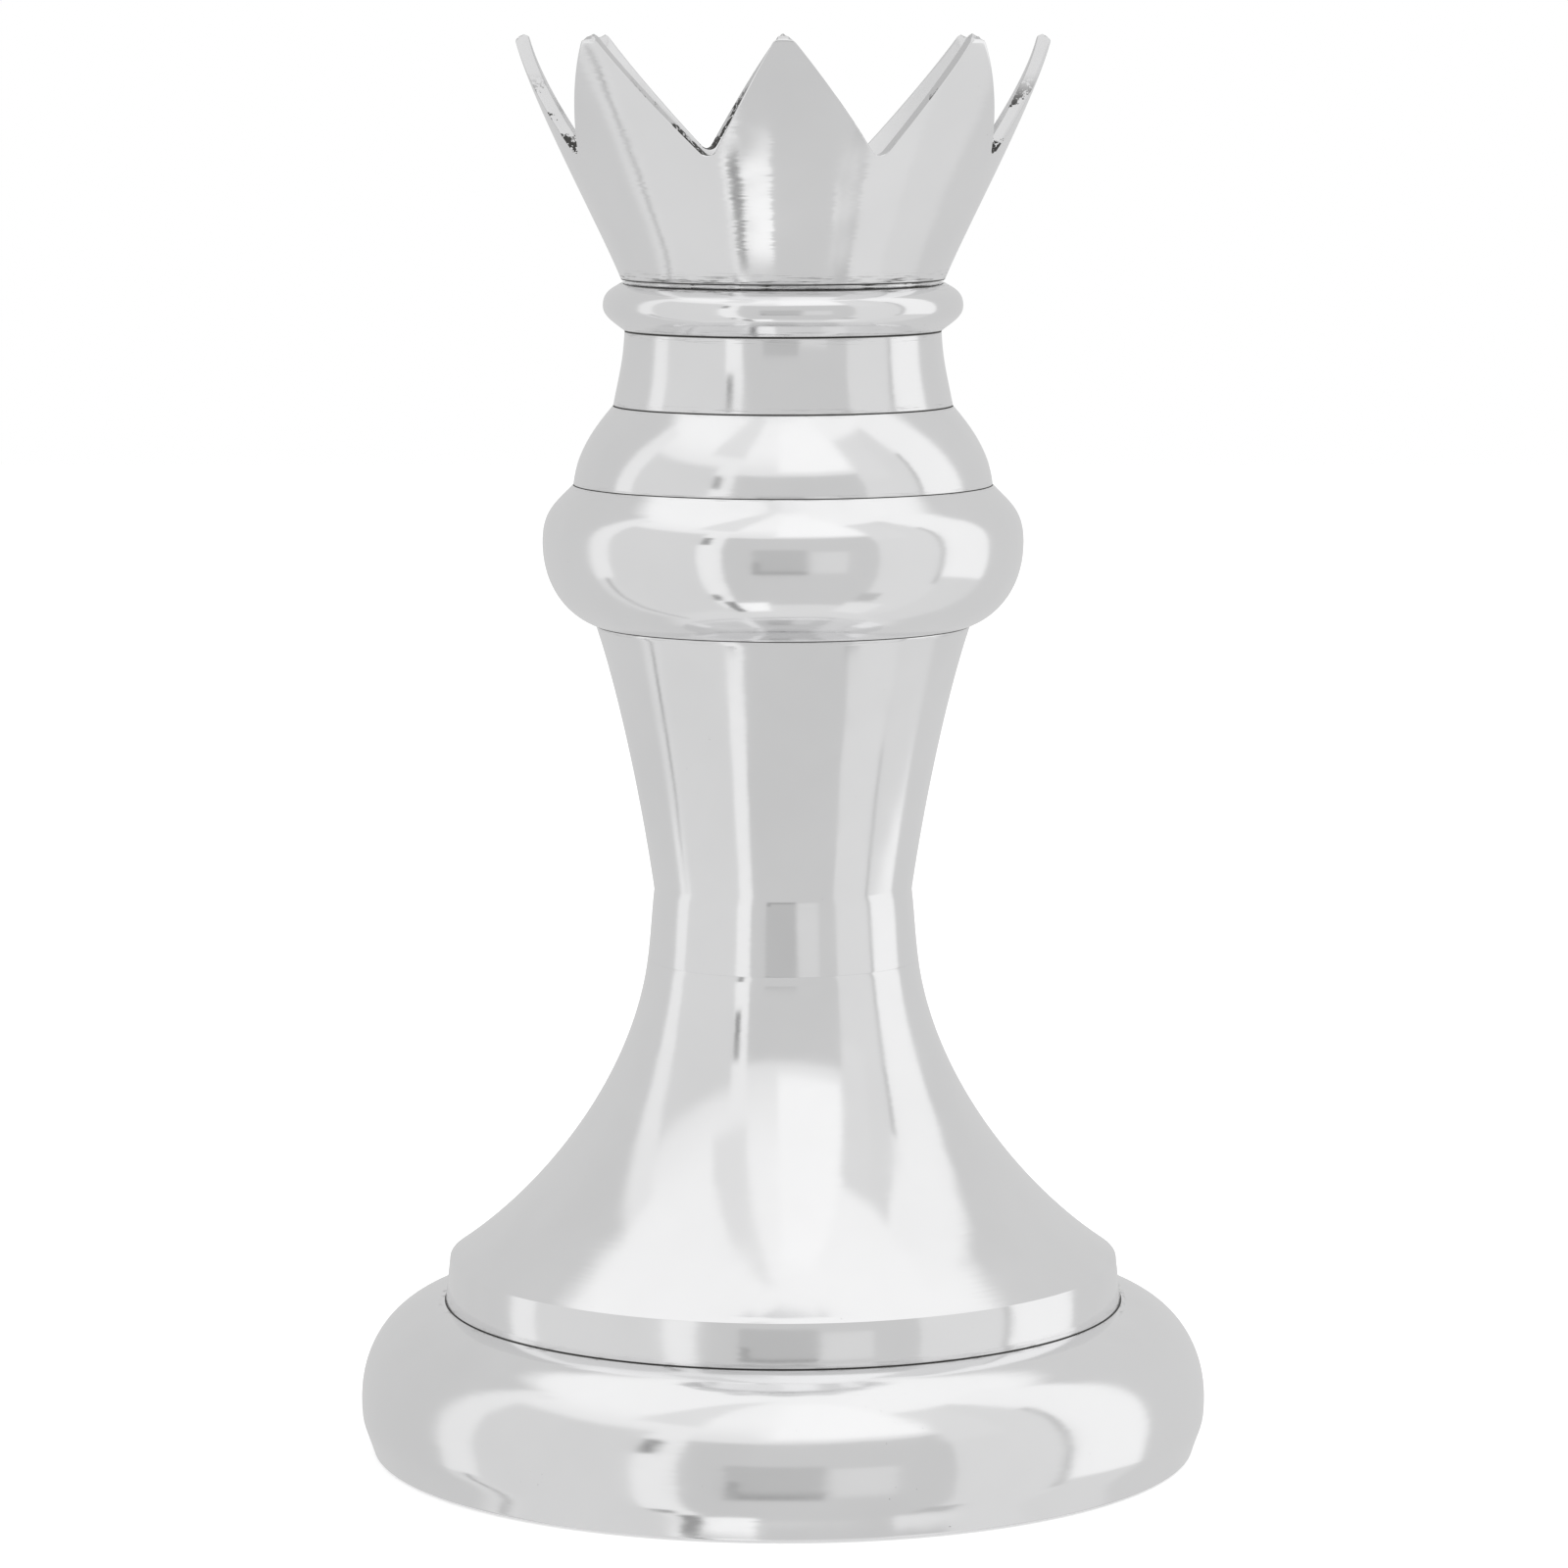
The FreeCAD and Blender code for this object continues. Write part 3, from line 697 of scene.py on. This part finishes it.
# %% Group: casting pits
def casting_pits_group():
    inputs = [
        ("Size", FLOAT, 900.0), ("Amount", FLOAT, 0.2),
        ("Clusters above", FLOAT, 0.5), ("None above", FLOAT, 1.0),
    ]
    group, tree, given, made = node_group("casting pits", inputs, [("Mask", FLOAT), ("Height", FLOAT)])
    place = tree.add("ShaderNodeTexCoord").outputs["Object"]
    limit = given.outputs["Clusters above"]
    where = tree.ramp(tree.math("SUBTRACT", tree.noise(place, 34.0, 2.0), limit), 0.0, 0.16)
    grains = tree.noise(place, given.outputs["Size"], 2.0, 0.7)
    limit = tree.math("SUBTRACT", 0.80, tree.math("MULTIPLY", given.outputs["Amount"], where))
    mask = tree.ramp(tree.math("SUBTRACT", grains, limit), 0.0, 0.05)
    height = tree.add("ShaderNodeSeparateXYZ", {0: place}).outputs[2]
    under = tree.math("SUBTRACT", given.outputs["None above"], height)
    mask = tree.math("MULTIPLY", mask, tree.ramp(under, 0.0, 16 * MM))
    tree.link(mask, made.inputs["Mask"])
    tree.link(tree.math("SUBTRACT", 0.0, mask), made.inputs["Height"])
    return group


# %% Group: seam grime
def seam_grime_group():
    inputs = [
        ("Seam height", FLOAT, 0.0), ("Seam radius", FLOAT, 0.1),
        ("Width", FLOAT, 0.0006), ("Smear", FLOAT, 0.3),
    ]
    group, tree, given, made = node_group("seam grime", inputs, [("Mask", FLOAT)])
    place = tree.add("ShaderNodeTexCoord").outputs["Object"]
    axes = tree.add("ShaderNodeSeparateXYZ", {0: place})
    flat = tree.add("ShaderNodeCombineXYZ", {0: axes.outputs[0], 1: axes.outputs[1]}).outputs[0]
    out = tree.add("ShaderNodeVectorMath", {0: flat}, operation="LENGTH").outputs["Value"]
    up = tree.math("SUBTRACT", axes.outputs[2], given.outputs["Seam height"])
    out = tree.math("SUBTRACT", out, given.outputs["Seam radius"])
    away = tree.add("ShaderNodeCombineXYZ", {0: out, 1: up}).outputs[0]
    distance = tree.add("ShaderNodeVectorMath", {0: away}, operation="LENGTH").outputs["Value"]
    widths = tree.math("DIVIDE", distance, given.outputs["Width"])
    line = tree.ramp(widths, 1.4, 0.6)
    wide = tree.ramp(widths, 9.0, 1.0)
    stretched = tree.vector("MULTIPLY", place, (70.0, 70.0, 1800.0))
    blotches = tree.ramp(tree.noise(stretched, 1.0, 4.0, 0.7), 0.50, 0.66)
    smear = tree.math("MULTIPLY", tree.math("MULTIPLY", wide, blotches), given.outputs["Smear"])
    mask = tree.math("MAXIMUM", line, smear, clamp=True)
    tree.link(mask, made.inputs["Mask"])
    return group


WHEEL_MARKS = wheel_marks_group()
CASTING_PITS = casting_pits_group()
SEAM_GRIME = seam_grime_group()


# %% [markdown]
# The polished finish puts these together. Metallic is 1 all over, so the base colour is the colour of the
# reflection. Long soft waves from polishing by hand go in as a bump on top of the wheel marks, and the
# roughness wanders a little, because no wheel leaves a surface evenly bright.

# %% Aluminium, from mirror to ground
ALUMINIUM = (0.92, 0.92, 0.925)
GRIME = (0.10, 0.098, 0.095, 1)
CLOUDS_PER_METRE = 9.0
UNEVEN_PER_METRE = 35.0
WAVES_PER_METRE = 24.0
PIT_DEPTH = 0.15 * MM


def new_material(name):
    material = bpy.data.materials.new(name)
    material.use_nodes = True
    material.node_tree.nodes.clear()
    tree = Tree(material.node_tree)
    output = tree.add("ShaderNodeOutputMaterial")
    shader = tree.add("ShaderNodeBsdfPrincipled")
    material.node_tree.links.new(shader.outputs[0], output.inputs[0])
    return material, tree, shader


def aluminium(
    name, seams=(), line=0.35 * MM, smear=0.3, roughness=0.07, spread=0.06,
    rows=0.03, row_pitch=2500.0, waves=0.45 * MM, pits=0.06, pit_size=900.0, clusters=0.5, pits_end=1.0,
    brightness=1.0,
):
    """A turned aluminium finish. Seams are the heights and radii at which grime has gathered."""
    material, tree, shader = new_material(name)
    link = material.node_tree.links.new
    place = tree.add("ShaderNodeTexCoord").outputs["Object"]
    marks = tree.add("ShaderNodeGroup", node_tree=WHEEL_MARKS)
    marks.inputs["Strength"].default_value = rows
    marks.inputs["Rows per metre"].default_value = row_pitch
    holes = tree.add("ShaderNodeGroup", node_tree=CASTING_PITS)
    holes.inputs["Amount"].default_value = pits
    holes.inputs["Size"].default_value = pit_size
    holes.inputs["Clusters above"].default_value = clusters
    holes.inputs["None above"].default_value = pits_end
    dirt = holes.outputs["Mask"]
    for z, radius in seams:
        grime = tree.add("ShaderNodeGroup", node_tree=SEAM_GRIME)
        grime.inputs["Seam height"].default_value = z
        grime.inputs["Seam radius"].default_value = radius
        grime.inputs["Width"].default_value = line
        grime.inputs["Smear"].default_value = smear
        dirt = tree.math("MAXIMUM", dirt, grime.outputs["Mask"])
    cloud = tree.noise(place, CLOUDS_PER_METRE, 4.0, 0.6)
    tone = tree.ramp(cloud, 0.3, 0.7, 0.955 * brightness, brightness)
    toned = tree.scaled(ALUMINIUM, tone)
    link(tree.mix(dirt, toned, GRIME), shader.inputs["Base Color"])
    shader.inputs["Metallic"].default_value = 1.0
    uneven = tree.noise(place, UNEVEN_PER_METRE, 5.0, 0.65)
    gloss = tree.ramp(uneven, 0.3, 0.75, roughness, roughness + spread)
    gloss = tree.math("ADD", gloss, tree.math("MULTIPLY", marks.outputs["Rows"], 0.04))
    gloss = tree.math("ADD", gloss, tree.math("MULTIPLY", dirt, 0.5), clamp=True)
    link(gloss, shader.inputs["Roughness"])
    wave = tree.noise(tree.vector("MULTIPLY", place, (1.0, 1.0, 0.7)), WAVES_PER_METRE, 1.5)
    waved = {"Strength": 1.0, "Distance": waves, "Height": wave, "Normal": marks.outputs["Normal"]}
    wave_bump = tree.add("ShaderNodeBump", waved)
    pitted = {"Strength": 0.6, "Distance": PIT_DEPTH, "Height": holes.outputs["Height"]}
    pit_bump = tree.add("ShaderNodeBump", {**pitted, "Normal": wave_bump.outputs[0]})
    link(pit_bump.outputs[0], shader.inputs["Normal"])
    return material


# %% Each casting gets its finish, with grime at its own seams
RADII = {
    "skirt": SKIRT_BASE_RADIUS, "collar": COLUMN_TOP_RADIUS, "shoulder": COLLAR_TOP_RADIUS,
    "neck": SHOULDER_TOP_RADIUS, "bead": NECK_TOP_RADIUS, "crown": CROWN_BASE_RADIUS,
}
AT = {name: (SEAMS[name], radius) for name, radius in RADII.items()}
fine, clear, deep = 0.25 * MM, 0.45 * MM, 0.7 * MM
finishes = {
    "foot": aluminium("foot finish", [AT["skirt"]], line=clear, smear=0.6, pits=0.08),
    "skirt": aluminium("skirt finish", [AT["skirt"]], line=clear, smear=0.2),
    "column": aluminium("column finish", [AT["collar"]], line=fine),
    "collar": aluminium("collar finish", [AT["collar"], AT["shoulder"]], line=fine),
    "shoulder": aluminium("shoulder finish", [AT["shoulder"], AT["neck"]], line=fine),
    "neck": aluminium("neck finish", [AT["neck"], AT["bead"]], line=clear),
    "bead": aluminium("bead finish", [AT["bead"], AT["crown"]], line=deep, smear=0.4),
    "crown": aluminium(
        "crown finish", [AT["crown"]], line=deep, smear=1.0, rows=0.07, row_pitch=1300.0, waves=0.8 * MM
    ),
}
for name, material in finishes.items():
    castings[name].data.materials.clear()
    castings[name].data.materials.append(material)

# %% [markdown]
# The crown has three finishes. Its outside is polished, its gaps were ground and still show the pits of the
# casting, and its inside was only brushed. Its faces are sorted by which way they point.

# %% Ground gaps and brushed inside
GROUND, BRUSHED = 1, 2
GROUND_FACING = 0.8
INSIDE_FACING = 0.2
GROUND_ABOVE_FLOOR = 20 * MM
ground = aluminium(
    "ground cut", roughness=0.16, spread=0.10, rows=0.02, waves=0.5 * MM,
    pits=0.42, pit_size=520.0, clusters=0.42, pits_end=TOP - 16 * MM, brightness=0.80,
)
brushed = aluminium(
    "brushed inside", roughness=0.24, spread=0.12, rows=0.08, waves=0.3 * MM, pits=0.10, brightness=0.9
)
castings["crown"].data.materials.append(ground)
castings["crown"].data.materials.append(brushed)
for face in castings["crown"].data.polygons:
    x, y, z = face.center
    outwards = (face.normal.x * x + face.normal.y * y) / math.hypot(x, y)
    if z > FLOOR_Z - 0.1 * MM:
        if abs(outwards) < GROUND_FACING and z > FLOOR_Z + GROUND_ABOVE_FLOOR:
            face.material_index = GROUND
        elif outwards < INSIDE_FACING:
            face.material_index = BRUSHED

# %% [markdown]
# The other finishes are plainer: zinc-plated steel on the rod and its nuts, brown hardboard, and felt whose
# colour is broken up by its fibres.

# %% Steel, hardboard and felt
def steel(name, colour, roughness):
    material, tree, shader = new_material(name)
    place = tree.add("ShaderNodeTexCoord").outputs["Object"]
    cloud = tree.noise(place, 260.0, 4.0, 0.6)
    shade = tree.ramp(cloud, 0.3, 0.7, 0.8, 1.0)
    tree.link(tree.scaled(colour, shade), shader.inputs["Base Color"])
    tree.link(tree.ramp(cloud, 0.3, 0.7, roughness + 0.1, roughness), shader.inputs["Roughness"])
    shader.inputs["Metallic"].default_value = 1.0
    bump = tree.add("ShaderNodeBump", {"Strength": 0.3, "Distance": 0.05 * MM, "Height": cloud})
    material.node_tree.links.new(bump.outputs[0], shader.inputs["Normal"])
    return material


def fibres(name, dark, light, scale, depth, roughness):
    material, tree, shader = new_material(name)
    place = tree.add("ShaderNodeTexCoord").outputs["Object"]
    strands = tree.noise(place, scale, 6.0, 0.75)
    clumps = tree.noise(place, scale / 12, 3.0, 0.6)
    share = tree.math("MULTIPLY", tree.ramp(strands, 0.3, 0.7), tree.ramp(clumps, 0.2, 0.8, 0.5, 1.0))
    material.node_tree.links.new(tree.mix(share, dark, light), shader.inputs["Base Color"])
    shader.inputs["Roughness"].default_value = roughness
    bump = tree.add("ShaderNodeBump", {"Strength": 0.8, "Distance": depth, "Height": strands})
    material.node_tree.links.new(bump.outputs[0], shader.inputs["Normal"])
    return material


zinc = steel("zinc plate", (0.62, 0.64, 0.67), 0.28)
bright_steel = steel("bright steel", (0.80, 0.80, 0.81), 0.10)
hardboard = fibres("hardboard", (0.14, 0.085, 0.045, 1), (0.30, 0.20, 0.12, 1), 900.0, 0.1 * MM, 0.6)
felt_wool = fibres("felt wool", (0.010, 0.010, 0.012, 1), (0.07, 0.07, 0.075, 1), 1400.0, 0.4 * MM, 0.95)
felt.data.materials.clear()
felt.data.materials.append(felt_wool)

node_finish = {"dome_nut": bright_steel, "crown_washer": bright_steel, "base_board": hardboard}
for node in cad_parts:
    if node.endswith("_casting") or node == "base_felt":
        continue
    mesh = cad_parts[node].data
    mesh.materials.clear()
    mesh.materials.append(node_finish.get(node, zinc))

# %% [markdown]
# ## The studio
#
# A mirror is only as good as what it reflects. The room is drawn in the world's shader: a bright ceiling,
# walls of paler and darker grey, and a few upright panels. Each panel is placed by how far round the room
# and how high it is. The camera itself sees plain white behind the ornament.

# %% World: a room of soft panels
def panel_group():
    """A soft-edged panel of the room: 1 inside it, 0 outside."""
    inputs = [
        ("Round", FLOAT, 0.0), ("Up", FLOAT, 0.0), ("Middle", FLOAT, 0.0), ("Half width", FLOAT, 10.0),
        ("Bottom", FLOAT, -10.0), ("Top", FLOAT, 10.0), ("Softness", FLOAT, 3.0),
    ]
    group, tree, given, made = node_group("panel", inputs, [("Mask", FLOAT)])
    get = given.outputs
    turn = tree.math("SUBTRACT", get["Round"], get["Middle"])
    turn = tree.add("ShaderNodeMath", {0: turn, 1: 180.0, 2: -180.0}, operation="WRAP").outputs[0]
    beyond = tree.math("SUBTRACT", tree.math("ABSOLUTE", turn), get["Half width"])
    above = tree.math("SUBTRACT", get["Up"], get["Top"])
    below = tree.math("SUBTRACT", get["Bottom"], get["Up"])
    outside = tree.math("MAXIMUM", beyond, tree.math("MAXIMUM", above, below))
    share = tree.math("DIVIDE", outside, get["Softness"])
    tree.link(tree.ramp(share, 0.5, -0.5), made.inputs["Mask"])
    return group


PANELS = [
    # middle, half width, bottom, top, softness, brightness: degrees round from the camera, and up
    (9, 38, -55, 32, 2, 0.63),
    (-66, 26, -60, 38, 6, 0.72),
    (-35, 6, -58, 55, 3, 0.92),
    (64, 16, -60, 60, 4, 0.76),
    (100, 16, -20, 62, 2, 0.96),
    (100, 16, -64, -20, 3, 0.73),
    (82, 1.6, -26, 40, 2, 0.56),
    (-99, 7, -20, 50, 2, 0.88),
    (-98, 1.2, -64, -20, 0.8, 0.40),
    (-142, 36, -60, 50, 8, 0.64),
    (150, 34, -60, 50, 8, 0.66),
    (20, 24, 36, 82, 4, 1.02),
    (56, 10, 24, 58, 4, 0.78),
    (-40, 12, 48, 86, 5, 0.82),
    (-2, 13, -16, 9, 1, 0.53),
    (-2, 13, -18, -15, 0.8, 0.36),
    (-13, 1.6, -16, -6, 0.8, 0.40),
    (22, 9, -16, 6, 1, 0.72),
    (-38, 2.2, 16, 30, 2, 0.30),
    (-38, 2.4, -47, -40, 1, 0.28),
    (-19.5, 10.5, -64, -51, 1.5, 1.04),
    (-33, 3.4, -64, -49, 0.8, 0.28),
    (54, 14, -64, -50, 1.5, 0.84),
    (50, 6, -48, -38, 3, 0.54),
]


def studio_world():
    world = bpy.data.worlds.new("studio")
    bpy.context.scene.world = world
    world.use_nodes = True
    world.node_tree.nodes.clear()
    tree = Tree(world.node_tree)
    direction = tree.add("ShaderNodeTexCoord").outputs["Generated"]
    axes = tree.add("ShaderNodeSeparateXYZ", {0: direction})
    to_degrees = 180 / math.pi
    forward = tree.math("MULTIPLY", axes.outputs[1], -1.0)
    round_room = tree.math("MULTIPLY", tree.math("ARCTAN2", axes.outputs[0], forward), to_degrees)
    up = tree.math("MULTIPLY", tree.math("ARCSINE", axes.outputs[2]), to_degrees)
    ceiling = tree.ramp(up, 15.0, 60.0, 0.76, 0.98)
    light = tree.ramp(up, -70.0, -5.0, 0.62, 0.0)
    light = tree.math("MAXIMUM", light, ceiling)
    panel = panel_group()
    for middle, half, bottom, top, softness, brightness in PANELS:
        inputs = {
            "Round": round_room, "Up": up, "Middle": float(middle), "Half width": float(half),
            "Bottom": float(bottom), "Top": float(top), "Softness": float(softness),
        }
        mask = tree.add("ShaderNodeGroup", node_tree=panel)
        for key, value in inputs.items():
            if isinstance(value, float):
                mask.inputs[key].default_value = value
            else:
                world.node_tree.links.new(value, mask.inputs[key])
        mixed = tree.add("ShaderNodeMix", {0: mask.outputs[0], 2: light, 3: brightness}, data_type="FLOAT")
        light = mixed.outputs[0]
    seen = tree.add("ShaderNodeLightPath").outputs["Is Camera Ray"]
    shown = tree.add("ShaderNodeMix", {0: seen, 2: light, 3: 1.0}, data_type="FLOAT").outputs[0]
    background = tree.add("ShaderNodeBackground", {"Color": (1, 1, 1, 1), "Strength": shown})
    output = tree.add("ShaderNodeOutputWorld")
    world.node_tree.links.new(background.outputs[0], output.inputs[0])


studio_world()

# %% Floor, soft lights and plain colours
FLOOR_SIZE = 12.0
# The floor is a hair under the felt, because two faces in one plane flicker.
FLOOR_DROP = 0.05 * MM
LIGHTS_AIM = Vector((0, 0, 0.3))


def pale_floor():
    bpy.ops.object.select_all(action="DESELECT")
    bpy.ops.mesh.primitive_plane_add(size=FLOOR_SIZE, location=(0, 0, -FLOOR_DROP))
    floor = bpy.context.object
    floor.name = "floor"
    material, tree, shader = new_material("pale floor")
    shader.inputs["Base Color"].default_value = (0.95, 0.95, 0.95, 1)
    shader.inputs["Roughness"].default_value = 0.9
    shader.inputs["Emission Color"].default_value = (1, 1, 1, 1)
    shader.inputs["Emission Strength"].default_value = 0.35
    floor.data.materials.append(material)
    floor.visible_glossy = False


def soft_light(name, place, size, power):
    bpy.ops.object.light_add(type="AREA", location=place)
    light = bpy.context.object
    light.name = name
    light.data.size = size
    light.data.energy = power
    light.rotation_euler = (LIGHTS_AIM - light.location).to_track_quat("-Z", "Y").to_euler()
    light.visible_glossy = False


pale_floor()
soft_light("key", (1.6, -1.8, 2.4), 1.6, 30)
soft_light("fill", (-2.2, -1.2, 1.6), 2.0, 15)
bpy.context.scene.view_settings.view_transform = "Standard"
bpy.context.scene.view_settings.look = "None"
